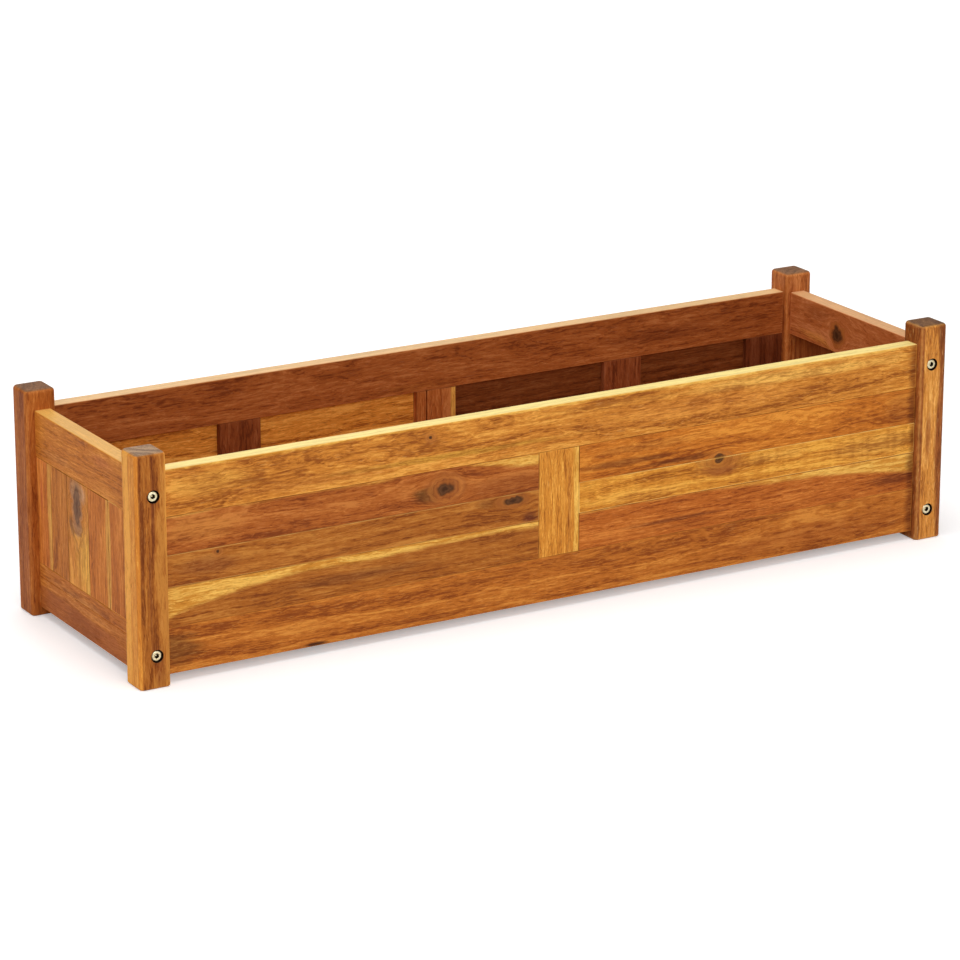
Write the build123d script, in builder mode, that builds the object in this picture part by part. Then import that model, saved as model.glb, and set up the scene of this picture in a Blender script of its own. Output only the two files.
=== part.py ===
from build123d import *
from itertools import cycle
from math import radians, tan
import os

# Raised wooden planter. Millimetres, +Z up, X along the length, the front faces -Y.
# The origin is on the ground, in the middle of the footprint.

# Overall size, over the posts
planter_length = 1000.0
planter_depth = 300.0
planter_height = 250.0

# Corner posts
post_side = 35.0
post_corner_radius = 5.0
post_top_radius = 4.2
post_foot_radius = 2.5
post_above_walls = 22.0

# Timbers of the walls
frame_thick = 19.0
board_thick = 12.0
rail_width = 50.0
stile_width = 50.0
batten_width = 50.0
rail_top_radius = 1.5
arris = 0.4
wall_base = 10.0
long_wall_inset = 8.5
end_wall_inset = 10.0

# Glued strips: boards from the top down, staves from the back forwards
board_widths = (41.0, 34.5, 42.5)
stave_widths = (35.0, 41.0, 51.0, 49.0, 54.0)
least_strip = 12.0

# Joint lines cut in a timber's face
stile_line_place = 12.5
stile_line_width = 2.0
stile_line_depth = 3.0
rail_line_drop = 15.0

# Corner bolts, their counterbores and the inserts that they screw into
bolt_shank = 6.0
bolt_length = 45.0
bolt_head = 11.0
bolt_head_height = 3.6
bolt_head_radius = 1.0
bolt_socket = 5.0
bolt_socket_depth = 2.4
bolt_tip_ease = 0.8
bolt_below_top = 23.5
bolt_above_base = 25.0
bolt_gap = 0.4
bolt_end_room = 3.0
counterbore = 14.0
counterbore_depth = 5.2
insert_outside = 10.0
insert_length = 15.0
insert_gap = 0.15

# Dowels between the long rails and the posts
dowel = 8.0
dowel_length = 40.0
dowel_spacing = 24.0
dowel_ease = 0.8
dowel_gap = 0.15

# Floor
cleat_thick = 15.0
cleat_height = 18.0
cleat_lift = 2.0
cleat_end_gap = 2.0
slat_thick = 9.0
slat_width = 104.0
slat_gap = 10.0
slat_end_gap = 1.0

# Countersunk screws of the floor
screw_shank = 4.0
screw_head = 7.6
screw_cone_angle = 90.0
screw_recess = 4.0
screw_recess_width = 1.0
screw_recess_depth = 1.2
screw_point = 4.0
screw_gap = 0.2
slat_screw_length = 24.0
cleat_screw_length = 28.0

# Places worked out from the sizes above
half_length = planter_length / 2
half_depth = planter_depth / 2
post_face_x = half_length - post_side
post_face_y = half_depth - post_side
wall_top = planter_height - post_above_walls
bay_top = wall_top - rail_width
bay_base = wall_base + rail_width
bolt_x = half_length - end_wall_inset - frame_thick / 2
bolt_heights = (wall_base + bolt_above_base, wall_top - bolt_below_top)
dowel_y = half_depth - long_wall_inset - frame_thick / 2
rail_middles = (wall_base + rail_width / 2, wall_top - rail_width / 2)
dowel_heights = [z + s * dowel_spacing / 2 for z in rail_middles for s in (-1, 1)]
cleat_base = wall_base + cleat_lift
slat_base = cleat_base + cleat_height
slat_top = slat_base + slat_thick

long_names = {-1: "front", 1: "back"}
end_names = {-1: "left", 1: "right"}
corners = [(x_side, y_side) for x_side in end_names for y_side in long_names]

os.makedirs("parts", exist_ok=True)


def save(piece, name):
    piece.part.label = name
    export_step(piece.part, f"parts/{name}.step")


def span(a, b):
    return (min(a, b), max(a, b))


# Y measured inwards from the outer face of a long wall, X from that of an end wall
def long_wall_y(side, inwards):
    return side * (half_depth - long_wall_inset - inwards)


def end_wall_x(side, inwards):
    return side * (half_length - end_wall_inset - inwards)


# Distances from a first edge at which a width is cut into strips; the last takes what is left
def strip_edges(width, strip_widths):
    edges = [0.0]
    for strip in cycle(strip_widths):
        if width - edges[-1] - strip < least_strip:
            break
        edges.append(edges[-1] + strip)
    edges.append(width)
    return edges


# A squared timber between three pairs of low and high values, with its arrises taken off.
# A top rail's two upper edges are rounded instead, along the axis given.
def timber(x_span, y_span, z_span, rounded_along=None):
    foot = ((x_span[0] + x_span[1]) / 2, (y_span[0] + y_span[1]) / 2, z_span[0])
    with BuildPart() as piece:
        with BuildSketch(Plane(foot)):
            Rectangle(x_span[1] - x_span[0], y_span[1] - y_span[0])
        extrude(amount=z_span[1] - z_span[0])
        if rounded_along:
            fillet(piece.edges().filter_by(rounded_along).group_by(Axis.Z)[-1], rail_top_radius)
            chamfer(piece.edges().filter_by(rounded_along).group_by(Axis.Z)[0], arris)
        else:
            chamfer(piece.edges(), arris)
    return piece


# Planes where holes go in, each facing out of the timber that it enters

def bolt_planes(x_side, y_side):
    return [Plane((x_side * bolt_x, y_side * half_depth, z), z_dir=(0, y_side, 0)) for z in bolt_heights]


def insert_planes(x_side, z):
    return [Plane((x_side * bolt_x, y_side * post_face_y, z), z_dir=(0, y_side, 0)) for y_side in long_names]


def dowel_planes(x_side, y_side, heights, facing):
    x_face = x_side * post_face_x
    return [Plane((x_face, y_side * dowel_y, z), z_dir=(facing, 0, 0)) for z in heights]


# Corner posts

def make_post(x_side, y_side):
    foot = (x_side * (half_length - post_side / 2), y_side * (half_depth - post_side / 2), 0)
    with BuildPart() as post:
        with BuildSketch(Plane(foot)):
            RectangleRounded(post_side, post_side, post_corner_radius)
        extrude(amount=planter_height)
        fillet(post.edges().group_by(Axis.Z)[-1], min(post_top_radius, 0.9 * post_corner_radius))
        fillet(post.edges().group_by(Axis.Z)[0], min(post_foot_radius, 0.9 * post_corner_radius))
        with Locations(bolt_planes(x_side, y_side)):
            CounterBoreHole(bolt_shank / 2 + bolt_gap, counterbore / 2, counterbore_depth)
        with Locations(dowel_planes(x_side, y_side, dowel_heights, facing=-x_side)):
            Hole(dowel / 2 + dowel_gap, dowel_length / 2)
    return post


# Long walls

def make_long_rail(y_side, z_span, is_top):
    y_span = span(long_wall_y(y_side, 0), long_wall_y(y_side, frame_thick))
    rail = timber((-post_face_x, post_face_x), y_span, z_span, Axis.X if is_top else None)
    heights = [z for z in dowel_heights if z_span[0] < z < z_span[1]]
    with BuildPart() as drilled:
        add(rail.part)
        for x_side in end_names:
            with Locations(dowel_planes(x_side, y_side, heights, facing=x_side)):
                Hole(dowel / 2 + dowel_gap, dowel_length / 2)
        if not is_top:
            with Locations(cleat_screw_planes(y_side, frame_thick)):
                Hole(screw_shank / 2 + screw_gap, cleat_screw_length - cleat_thick)
    return drilled


# The stile in the middle of a long wall, with the upright joint line in its inner face
def make_centre_stile(y_side):
    y_span = span(long_wall_y(y_side, 0), long_wall_y(y_side, frame_thick))
    stile = timber((-stile_width / 2, stile_width / 2), y_span, (bay_base, bay_top))
    line_x = y_side * (stile_line_place - stile_width / 2)
    with BuildPart() as grooved:
        add(stile.part)
        with BuildSketch(Plane((line_x, long_wall_y(y_side, frame_thick), bay_base))):
            Rectangle(stile_line_width, 2 * stile_line_depth)
        extrude(amount=bay_top - bay_base, mode=Mode.SUBTRACT)
    return grooved


def make_bay_boards(y_side, x_side):
    x_span = span(x_side * stile_width / 2, x_side * post_face_x)
    y_span = span(long_wall_y(y_side, 0), long_wall_y(y_side, board_thick))
    edges = strip_edges(bay_top - bay_base, board_widths)
    return [timber(x_span, y_span, (bay_top - low, bay_top - high)) for high, low in zip(edges, edges[1:])]


# Battens on the inside of the boards: one against the post and one in the middle of the bay
def make_battens(y_side, x_side):
    y_span = span(long_wall_y(y_side, board_thick), long_wall_y(y_side, frame_thick))
    bay_middle = x_side * (stile_width / 2 + post_face_x) / 2
    x_spans = {
        "end": span(x_side * post_face_x, x_side * (post_face_x - batten_width)),
        "mid": (bay_middle - batten_width / 2, bay_middle + batten_width / 2),
    }
    return {place: timber(x_span, y_span, (bay_base, bay_top)) for place, x_span in x_spans.items()}


# End walls

def make_end_rail(x_side, z_span, is_top):
    x_span = span(end_wall_x(x_side, 0), end_wall_x(x_side, frame_thick))
    rail = timber(x_span, (-post_face_y, post_face_y), z_span, Axis.Y if is_top else None)
    with BuildPart() as drilled:
        add(rail.part)
        with Locations(insert_planes(x_side, bolt_heights[1] if is_top else bolt_heights[0])):
            CounterBoreHole(
                bolt_shank / 2 + bolt_gap,
                insert_outside / 2 + insert_gap,
                insert_length,
                depth=insert_length + bolt_end_room,
            )
        if not is_top:
            line_start = (end_wall_x(x_side, 0), -post_face_y, z_span[1] - rail_line_drop)
            with BuildSketch(Plane(line_start, x_dir=(1, 0, 0), z_dir=(0, 1, 0))):
                Rectangle(2 * arris, 2 * arris, rotation=45)
            extrude(amount=2 * post_face_y, mode=Mode.SUBTRACT)
    return drilled


def make_end_staves(x_side):
    x_span = span(end_wall_x(x_side, 0), end_wall_x(x_side, board_thick))
    edges = strip_edges(2 * post_face_y, stave_widths)
    z_span = (bay_base, bay_top)
    return [timber(x_span, (post_face_y - b, post_face_y - a), z_span) for a, b in zip(edges, edges[1:])]


# Floor

# Middles of the slats along X; the gaps between them share the room that is left
def slat_middles():
    room = 2 * post_face_x
    count = int((room - slat_gap) / (slat_width + slat_gap))
    gap = (room - count * slat_width) / (count + 1)
    return [-post_face_x + gap + slat_width / 2 + n * (slat_width + gap) for n in range(count)]


# Cleat screws go in under every other gap, clear of the slat screws
def cleat_screw_planes(y_side, inwards):
    middles = slat_middles()
    gap_middles = [(a + b) / 2 for a, b in zip(middles, middles[1:])]
    y = long_wall_y(y_side, inwards)
    z = cleat_base + cleat_height / 2
    return [Plane((x, y, z), z_dir=(0, -y_side, 0)) for x in gap_middles[::2]]


# Slat screws go down through a slat's end into the middle of the cleat
def slat_screw_planes(y_side, x_places, z):
    y = long_wall_y(y_side, frame_thick + cleat_thick / 2)
    return [Plane((x, y, z)) for x in x_places]


def make_screw_hole(thickness):
    CounterSinkHole(
        screw_shank / 2 + screw_gap,
        screw_head / 2 + 2 * screw_gap,
        depth=2 * thickness,
        counter_sink_angle=screw_cone_angle,
    )


def make_cleat(y_side):
    x_span = (cleat_end_gap - post_face_x, post_face_x - cleat_end_gap)
    y_span = span(long_wall_y(y_side, frame_thick), long_wall_y(y_side, frame_thick + cleat_thick))
    bar = timber(x_span, y_span, (cleat_base, slat_base))
    with BuildPart() as cleat:
        add(bar.part)
        with Locations(cleat_screw_planes(y_side, frame_thick + cleat_thick)):
            make_screw_hole(cleat_thick)
        with Locations(slat_screw_planes(y_side, slat_middles(), slat_base)):
            Hole(screw_shank / 2 + screw_gap, slat_screw_length - slat_thick)
    return cleat


def make_slat(x_middle):
    x_span = (x_middle - slat_width / 2, x_middle + slat_width / 2)
    y_end = long_wall_y(1, frame_thick + slat_end_gap)
    board = timber(x_span, (-y_end, y_end), (slat_base, slat_top))
    with BuildPart() as slat:
        add(board.part)
        for y_side in long_names:
            with Locations(slat_screw_planes(y_side, [x_middle], slat_top)):
                make_screw_hole(slat_thick)
    return slat


# Fasteners: each is made once, upright on its own axis, then set in all its places

# The head's underside lies at the origin and the shank runs down
def make_bolt():
    with BuildPart() as bolt:
        with BuildSketch():
            Circle(bolt_head / 2)
        extrude(amount=bolt_head_height)
        fillet(bolt.edges().group_by(Axis.Z)[-1], bolt_head_radius)
        with BuildSketch(bolt.faces().sort_by(Axis.Z)[-1]):
            RegularPolygon(bolt_socket / 2, 6, major_radius=False)
        extrude(amount=-bolt_socket_depth, mode=Mode.SUBTRACT)
        with BuildSketch():
            Circle(bolt_shank / 2)
        extrude(amount=-bolt_length)
        chamfer(bolt.edges().group_by(Axis.Z)[0], bolt_tip_ease)
    return bolt


# The insert's outer end lies at the origin and its sleeve runs down
def make_insert():
    with BuildPart() as insert:
        with BuildSketch():
            Circle(insert_outside / 2)
            Circle(bolt_shank / 2 + insert_gap, mode=Mode.SUBTRACT)
        extrude(amount=-insert_length)
    return insert


def make_dowel():
    with BuildPart() as pin:
        with BuildSketch(Plane.XY.offset(-dowel_length / 2)):
            Circle(dowel / 2)
        extrude(amount=dowel_length)
        chamfer(pin.edges().filter_by(GeomType.CIRCLE), dowel_ease)
    return pin


# The head lies one gap below the origin and the point is down
def make_screw(length):
    head_rim = screw_head / 2
    neck = screw_shank / 2
    head_height = (head_rim - neck) / tan(radians(screw_cone_angle / 2))
    with BuildPart() as screw:
        with BuildSketch(Plane.XZ):
            with BuildLine():
                Polyline(
                    (0, -screw_gap),
                    (head_rim, -screw_gap),
                    (neck, -screw_gap - head_height),
                    (neck, screw_point - length),
                    (0, -length),
                    close=True,
                )
            make_face()
        revolve(axis=Axis.Z)
        with BuildSketch(Plane.XY.offset(-screw_gap)):
            Rectangle(screw_recess, screw_recess_width)
            Rectangle(screw_recess_width, screw_recess)
        extrude(amount=-screw_recess_depth, mode=Mode.SUBTRACT)
    return screw


# One node that holds a copy of a fastener at each plane
def group(fastener, planes):
    with BuildPart() as copies:
        with Locations(planes):
            add(fastener.part)
    return copies


# Every piece, made and saved

for x_side, y_side in corners:
    save(make_post(x_side, y_side), f"post_{long_names[y_side]}_{end_names[x_side]}")

for y_side, wall in long_names.items():
    save(make_long_rail(y_side, (bay_top, wall_top), is_top=True), f"{wall}_top_rail")
    save(make_long_rail(y_side, (wall_base, bay_base), is_top=False), f"{wall}_bottom_rail")
    save(make_centre_stile(y_side), f"{wall}_centre_stile")
    save(make_cleat(y_side), f"{wall}_floor_cleat")
    for x_side, bay in end_names.items():
        for number, board in enumerate(make_bay_boards(y_side, x_side), 1):
            save(board, f"{wall}_{bay}_board_{number}")
        for place, batten in make_battens(y_side, x_side).items():
            save(batten, f"{wall}_{bay}_{place}_batten")

for x_side, end in end_names.items():
    save(make_end_rail(x_side, (bay_top, wall_top), is_top=True), f"{end}_end_top_rail")
    save(make_end_rail(x_side, (wall_base, bay_base), is_top=False), f"{end}_end_bottom_rail")
    for number, stave in enumerate(make_end_staves(x_side), 1):
        save(stave, f"{end}_end_stave_{number}")

for number, x_middle in enumerate(slat_middles(), 1):
    save(make_slat(x_middle), f"floor_slat_{number}")

bolt_seats = [plane.offset(-counterbore_depth) for x, y in corners for plane in bolt_planes(x, y)]
insert_seats = [plane for x in end_names for z in bolt_heights for plane in insert_planes(x, z)]
dowel_seats = [plane for x, y in corners for plane in dowel_planes(x, y, dowel_heights, facing=x)]
cleat_screw_seats = [
    plane for y in long_names for plane in cleat_screw_planes(y, frame_thick + cleat_thick)
]
slat_screw_seats = [plane for y in long_names for plane in slat_screw_planes(y, slat_middles(), slat_top)]

save(group(make_bolt(), bolt_seats), "corner_bolts")
save(group(make_insert(), insert_seats), "threaded_inserts")
save(group(make_dowel(), dowel_seats), "rail_dowels")
save(group(make_screw(cleat_screw_length), cleat_screw_seats), "cleat_screws")
save(group(make_screw(slat_screw_length), slat_screw_seats), "slat_screws")
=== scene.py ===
# Raised wooden planter in oiled acacia. Metres, +Z up, X along the length, the front faces -Y.
import math
import bpy
import bmesh
from mathutils import Matrix, Vector


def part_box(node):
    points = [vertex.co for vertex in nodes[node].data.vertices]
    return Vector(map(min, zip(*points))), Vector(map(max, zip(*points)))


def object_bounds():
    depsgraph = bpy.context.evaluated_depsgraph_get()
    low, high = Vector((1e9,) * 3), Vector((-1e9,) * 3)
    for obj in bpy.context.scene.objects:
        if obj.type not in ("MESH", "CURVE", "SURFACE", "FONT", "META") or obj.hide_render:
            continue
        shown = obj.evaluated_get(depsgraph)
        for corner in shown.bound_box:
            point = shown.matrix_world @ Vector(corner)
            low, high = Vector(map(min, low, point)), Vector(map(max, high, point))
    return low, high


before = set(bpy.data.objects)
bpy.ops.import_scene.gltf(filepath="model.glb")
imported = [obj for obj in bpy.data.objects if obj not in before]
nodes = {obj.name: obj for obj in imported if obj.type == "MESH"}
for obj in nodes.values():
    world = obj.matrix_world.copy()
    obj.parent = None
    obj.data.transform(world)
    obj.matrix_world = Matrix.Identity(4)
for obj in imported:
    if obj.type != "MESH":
        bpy.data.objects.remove(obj)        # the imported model: bodies, nodes, joints and record
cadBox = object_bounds()
mm = 0.001
print("frame loaded,", len(nodes), "nodes")


# Small helpers for shader nodes

# A colour picker's 0 to 255 made the linear values that a socket takes
def linear(red, green, blue):
    values = [((c / 255 + 0.055) / 1.055) ** 2.4 for c in (red, green, blue)]
    return (*values, 1.0)


class NodeBench:
    def __init__(self, tree):
        self.tree = tree

    def add(self, kind, inputs=None, **settings):
        node = self.tree.nodes.new("ShaderNode" + kind)
        node.location = (180 * len(self.tree.nodes), 0)
        for name, value in settings.items():
            setattr(node, name, value)
        for name, value in (inputs or {}).items():
            self.feed(node.inputs[name], value)
        return node

    def feed(self, socket, value):
        if isinstance(value, bpy.types.NodeSocket):
            self.tree.links.new(value, socket)
        else:
            socket.default_value = value

    def math(self, operation, *values):
        node = self.add("Math", dict(enumerate(values)), operation=operation)
        return node.outputs[0]

    def vector(self, operation, *values):
        node = self.add("VectorMath", operation=operation)
        sockets = [s for s in node.inputs if s.enabled]
        for socket, value in zip(sockets, values):
            self.feed(socket, value)
        return [s for s in node.outputs if s.enabled][0]

    # stretches a vector by three factors, or scales it by one
    def scaled(self, vector, factor):
        if isinstance(factor, tuple):
            return self.vector("MULTIPLY", vector, factor)
        node = self.add("VectorMath", {"Scale": factor}, operation="SCALE")
        self.feed(node.inputs[0], vector)
        return node.outputs[0]

    def split(self, vector):
        return self.add("SeparateXYZ", {"Vector": vector}).outputs

    def noise(self, vector, detail=2.0, roughness=0.5):
        values = {"Vector": vector, "Scale": 1.0, "Detail": detail, "Roughness": roughness}
        return self.add("TexNoise", values).outputs["Fac"]

    def lineNoise(self, place, detail=2.0, roughness=0.5):
        values = {"W": place, "Scale": 1.0, "Detail": detail, "Roughness": roughness}
        return self.add("TexNoise", values, noise_dimensions="1D").outputs["Fac"]

    # 0 below the low value and 1 above the high one, or the other way round, with a smooth step between
    def step(self, value, low, high, least=0.0, most=1.0):
        values = {"Value": value, "From Min": low, "From Max": high, "To Min": least, "To Max": most}
        return self.add("MapRange", values, interpolation_type="SMOOTHSTEP").outputs[0]

    def mix(self, factor, first, second, blend="MIX"):
        node = self.add("Mix", data_type="RGBA", blend_type=blend)
        self.feed(node.inputs[0], factor)
        self.feed(node.inputs[6], first)
        self.feed(node.inputs[7], second)
        return node.outputs[2]

    def group(self, tree, inputs):
        return self.add("Group", inputs, node_tree=tree).outputs


# A node group with named inputs, as (name, kind, value), and named outputs, as (name, kind)
def newGroup(name, inputs, outputs):
    tree = bpy.data.node_groups.new(name, "ShaderNodeTree")
    for label, kind, value in inputs:
        socket = tree.interface.new_socket(label, in_out="INPUT", socket_type="NodeSocket" + kind)
        socket.default_value = value
    for label, kind in outputs:
        tree.interface.new_socket(label, in_out="OUTPUT", socket_type="NodeSocket" + kind)
    return tree, NodeBench(tree), tree.nodes.new("NodeGroupInput").outputs


def endGroup(bench, results):
    end = bench.tree.nodes.new("NodeGroupOutput")
    for name, value in results.items():
        bench.feed(end.inputs[name], value)


# Effects that several materials share

# wobble: cells per metre of the noise that ruffles a knot, and its reach in core radii.
# bend: how far the grain gives way, in core radii. rings: changes per metre away from the middle.
knotShape = {"wobble": 120.0, "wobbleReach": 1.6, "bend": 1.7, "rings": 330.0}


# Grain that flows round a knot, with masks for its core, its dark eye, its rings and the stain about it
def makeKnotGroup():
    tree, bench, given = newGroup(
        "knotFlow",
        [("Vector", "Vector", (0, 0, 0)), ("Middle", "Vector", (0, 0, 0)), ("Core", "Float", 0.005),
         ("Halo", "Float", 0.02), ("Stretch", "Float", 1.3)],
        [("Vector", "Vector"), ("Core", "Float"), ("Eye", "Float"), ("Halo", "Float"), ("Rings", "Float")])
    place = bench.vector("SUBTRACT", given["Vector"], given["Middle"])
    wobbleNoise = bench.add("TexNoise", {"Vector": given["Vector"], "Scale": knotShape["wobble"],
                                         "Detail": 3.0})
    wobble = bench.vector("SUBTRACT", wobbleNoise.outputs["Color"], (0.5, 0.5, 0.5))
    wobbleSize = bench.math("MULTIPLY", given["Core"], knotShape["wobbleReach"])
    moved = bench.vector("ADD", place, bench.scaled(wobble, wobbleSize))
    movedX, movedY = bench.split(moved)[:2]
    along = bench.math("DIVIDE", movedX, given["Stretch"])
    square = bench.math("ADD", bench.math("MULTIPLY", along, along), bench.math("MULTIPLY", movedY, movedY))
    away = bench.math("SQRT", square)
    block = bench.math("MULTIPLY", given["Core"], knotShape["bend"])
    blockSquare = bench.math("MULTIPLY", block, block)
    share = bench.math("DIVIDE", blockSquare, bench.math("MAXIMUM", square, blockSquare))
    flow = bench.math("SUBTRACT", 1.0, share)
    x, y, z = bench.split(given["Vector"])
    middleY = bench.split(given["Middle"])[1]
    across = bench.math("MULTIPLY_ADD", bench.math("SUBTRACT", y, middleY), flow, middleY)
    bent = bench.add("CombineXYZ", {"X": x, "Y": across, "Z": z}).outputs[0]
    coreShare = bench.math("DIVIDE", away, given["Core"])
    core = bench.step(coreShare, 1.35, 0.75)
    rim = bench.math("MULTIPLY", bench.step(coreShare, 0.6, 0.85), bench.step(coreShare, 1.3, 0.95))
    eye = bench.math("MAXIMUM", bench.step(coreShare, 0.75, 0.2), bench.math("MULTIPLY", rim, 0.75))
    haloFull = bench.math("MULTIPLY_ADD", given["Halo"], 0.4, bench.math("MULTIPLY", given["Core"], 0.6))
    halo = bench.step(away, given["Halo"], haloFull)
    rings = bench.lineNoise(bench.math("MULTIPLY", away, knotShape["rings"]), detail=2.0)
    rings = bench.step(rings, 0.2, 0.8)
    endGroup(bench, {"Vector": bent, "Core": core, "Eye": eye, "Halo": halo, "Rings": rings})
    return tree


# Cells per metre of each layer of the figure, along the grain, across it and through it
figureScales = {
    "slow": (3, 14, 14),
    "sway": (12, 36, 36),
    "quick": (34, 90, 90),
    "patches": (10, 42, 42),
    "strands": (24, 330, 330),
    "grit": (120, 900, 900),
    "fibre": (90, 2600, 2600),
    "ripple": (150, 24, 24),
    "flecks": (60, 640, 640),
    "pores": (150, 1500, 1500),
}
growthRings = {"bands": 130.0, "fine": 850.0}      # changes per metre away from the pith
ringWaves = {"slow": 0.034, "sway": 0.012, "quick": 0.0035}      # metres that each wave shifts the rings
layerStrengths = {
    "bands": 2.2, "patches": 2.3, "strands": 1.35, "fine": 0.6, "grit": 1.15, "fibre": 0.4, "ripple": 1.6,
}


# The figure of one board: growth bands about a pith, fibres, flecks and pores, all drawn out along X
def makeFigureGroup():
    tree, bench, given = newGroup(
        "acaciaFigure",
        [("Vector", "Vector", (0, 0, 0)), ("Seed", "Float", 0.0), ("Pith", "Vector", (0, 0.05, -0.03)),
         ("Streaks", "Float", 0.6), ("Mottle", "Float", 0.5), ("Grain", "Float", 1.0),
         ("Shimmer", "Float", 0.2),
         ("Light", "Color", linear(222, 160, 62)), ("Mid", "Color", linear(193, 120, 35)),
         ("Dark", "Color", linear(150, 84, 28))],
        [("Color", "Color"), ("Tone", "Float"), ("Flecks", "Float"), ("Glints", "Float"),
         ("Height", "Float")])
    seedShift = bench.scaled((1.7, 0.31, 0.77), given["Seed"])
    place = bench.vector("ADD", given["Vector"], seedShift)

    def layer(vector, name, **settings):
        return bench.noise(bench.scaled(vector, figureScales[name]), **settings)

    slow = bench.math("SUBTRACT", layer(place, "slow", detail=1.0), 0.5)
    sway = bench.math("SUBTRACT", layer(place, "sway", detail=2.0), 0.5)
    quick = bench.math("SUBTRACT", layer(place, "quick", detail=2.0), 0.5)
    fromPith = bench.scaled(bench.vector("SUBTRACT", given["Vector"], given["Pith"]), (0, 1, 1))
    radius = bench.vector("LENGTH", fromPith)
    for name, wave in (("slow", slow), ("sway", sway), ("quick", quick)):
        radius = bench.math("MULTIPLY_ADD", wave, ringWaves[name], radius)
    seedLine = bench.math("MULTIPLY", given["Seed"], 13.0)
    bandPlace = bench.math("MULTIPLY_ADD", radius, growthRings["bands"], seedLine)
    bands = bench.lineNoise(bandPlace, detail=3.0, roughness=0.55)
    fine = bench.lineNoise(bench.math("MULTIPLY_ADD", radius, growthRings["fine"], seedLine), detail=1.0)
    drift = bench.math("MULTIPLY_ADD", sway, 0.014, bench.math("MULTIPLY", quick, 0.005))
    wavy = bench.vector("ADD", place, bench.scaled((0, 1, 1), drift))
    patches = layer(wavy, "patches", detail=3.0)
    strands = layer(wavy, "strands", detail=2.0, roughness=0.55)
    grit = layer(wavy, "grit", detail=2.0, roughness=0.7)
    fibre = layer(wavy, "fibre", detail=1.0)
    ripple = layer(place, "ripple", detail=1.0)

    tone = 0.5
    shares = (("bands", bands, given["Streaks"]), ("patches", patches, given["Mottle"]),
              ("strands", strands, given["Grain"]), ("fine", fine, 1.0), ("grit", grit, given["Grain"]),
              ("fibre", fibre, 1.0), ("ripple", ripple, given["Shimmer"]))
    for name, value, share in shares:
        centred = bench.math("MULTIPLY", bench.math("SUBTRACT", value, 0.5), share)
        tone = bench.math("MULTIPLY_ADD", centred, layerStrengths[name], tone)
    colour = bench.mix(bench.step(tone, 0.0, 0.5), given["Dark"], given["Mid"])
    colour = bench.mix(bench.step(tone, 0.5, 1.0), colour, given["Light"])

    fleckNoise = layer(wavy, "flecks", detail=2.0, roughness=0.6)
    flecks = bench.step(fleckNoise, 0.56, 0.7)
    glints = bench.step(fleckNoise, 0.42, 0.3)
    porePlace = bench.scaled(wavy, figureScales["pores"])
    poreCells = bench.add("TexVoronoi", {"Vector": porePlace, "Scale": 1.0})
    pores = bench.step(poreCells.outputs["Distance"], 0.3, 0.12)
    flecks = bench.math("MAXIMUM", flecks, bench.math("MULTIPLY", pores, 0.8))
    height = bench.math("MULTIPLY_ADD", fibre, 0.4, bench.math("MULTIPLY", grit, 0.6))
    height = bench.math("SUBTRACT", height, flecks)
    endGroup(bench, {"Color": colour, "Tone": tone, "Flecks": flecks, "Glints": glints, "Height": height})
    return tree


# Cells per metre of the noise that ruffles an outline, and how far it does: a patch by shares of its reach,
# a band by shares of its softness
raggedScales = {
    "patch": (22, 190, 190), "band": (16, 60, 60), "rubbed": (120, 120, 120), "seam": (35, 35, 35),
}
raggedReach = {"patch": 1.1, "band": 3.0}


# A soft patch with ragged ends along the grain
def makePatchGroup():
    tree, bench, given = newGroup(
        "softPatch",
        [("Vector", "Vector", (0, 0, 0)), ("Middle", "Vector", (0, 0, 0)),
         ("Reach", "Vector", (0.05, 0.01, 1))],
        [("Mask", "Float")])
    place = bench.vector("DIVIDE", bench.vector("SUBTRACT", given["Vector"], given["Middle"]), given["Reach"])
    away = bench.vector("LENGTH", bench.scaled(place, (1, 1, 0)))
    ragged = bench.noise(bench.scaled(given["Vector"], raggedScales["patch"]), detail=3.0)
    away = bench.math("MULTIPLY_ADD", bench.math("SUBTRACT", ragged, 0.5), raggedReach["patch"], away)
    endGroup(bench, {"Mask": bench.step(away, 1.15, 0.3)})
    return tree


# A band of other wood above an edge that is given as a height across the board
def makeBandGroup():
    tree, bench, given = newGroup(
        "woodBand",
        [("Vector", "Vector", (0, 0, 0)), ("Edge", "Float", 0.0), ("Softness", "Float", 0.003)],
        [("Mask", "Float")])
    across = bench.split(given["Vector"])[1]
    wander = bench.noise(bench.scaled(given["Vector"], raggedScales["band"]), detail=3.0)
    above = bench.math("SUBTRACT", across, given["Edge"])
    above = bench.math("MULTIPLY_ADD", bench.math("SUBTRACT", wander, 0.5),
                       bench.math("MULTIPLY", given["Softness"], raggedReach["band"]), above)
    low = bench.math("MULTIPLY", given["Softness"], -1.0)
    endGroup(bench, {"Mask": bench.step(above, low, given["Softness"])})
    return tree


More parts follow.
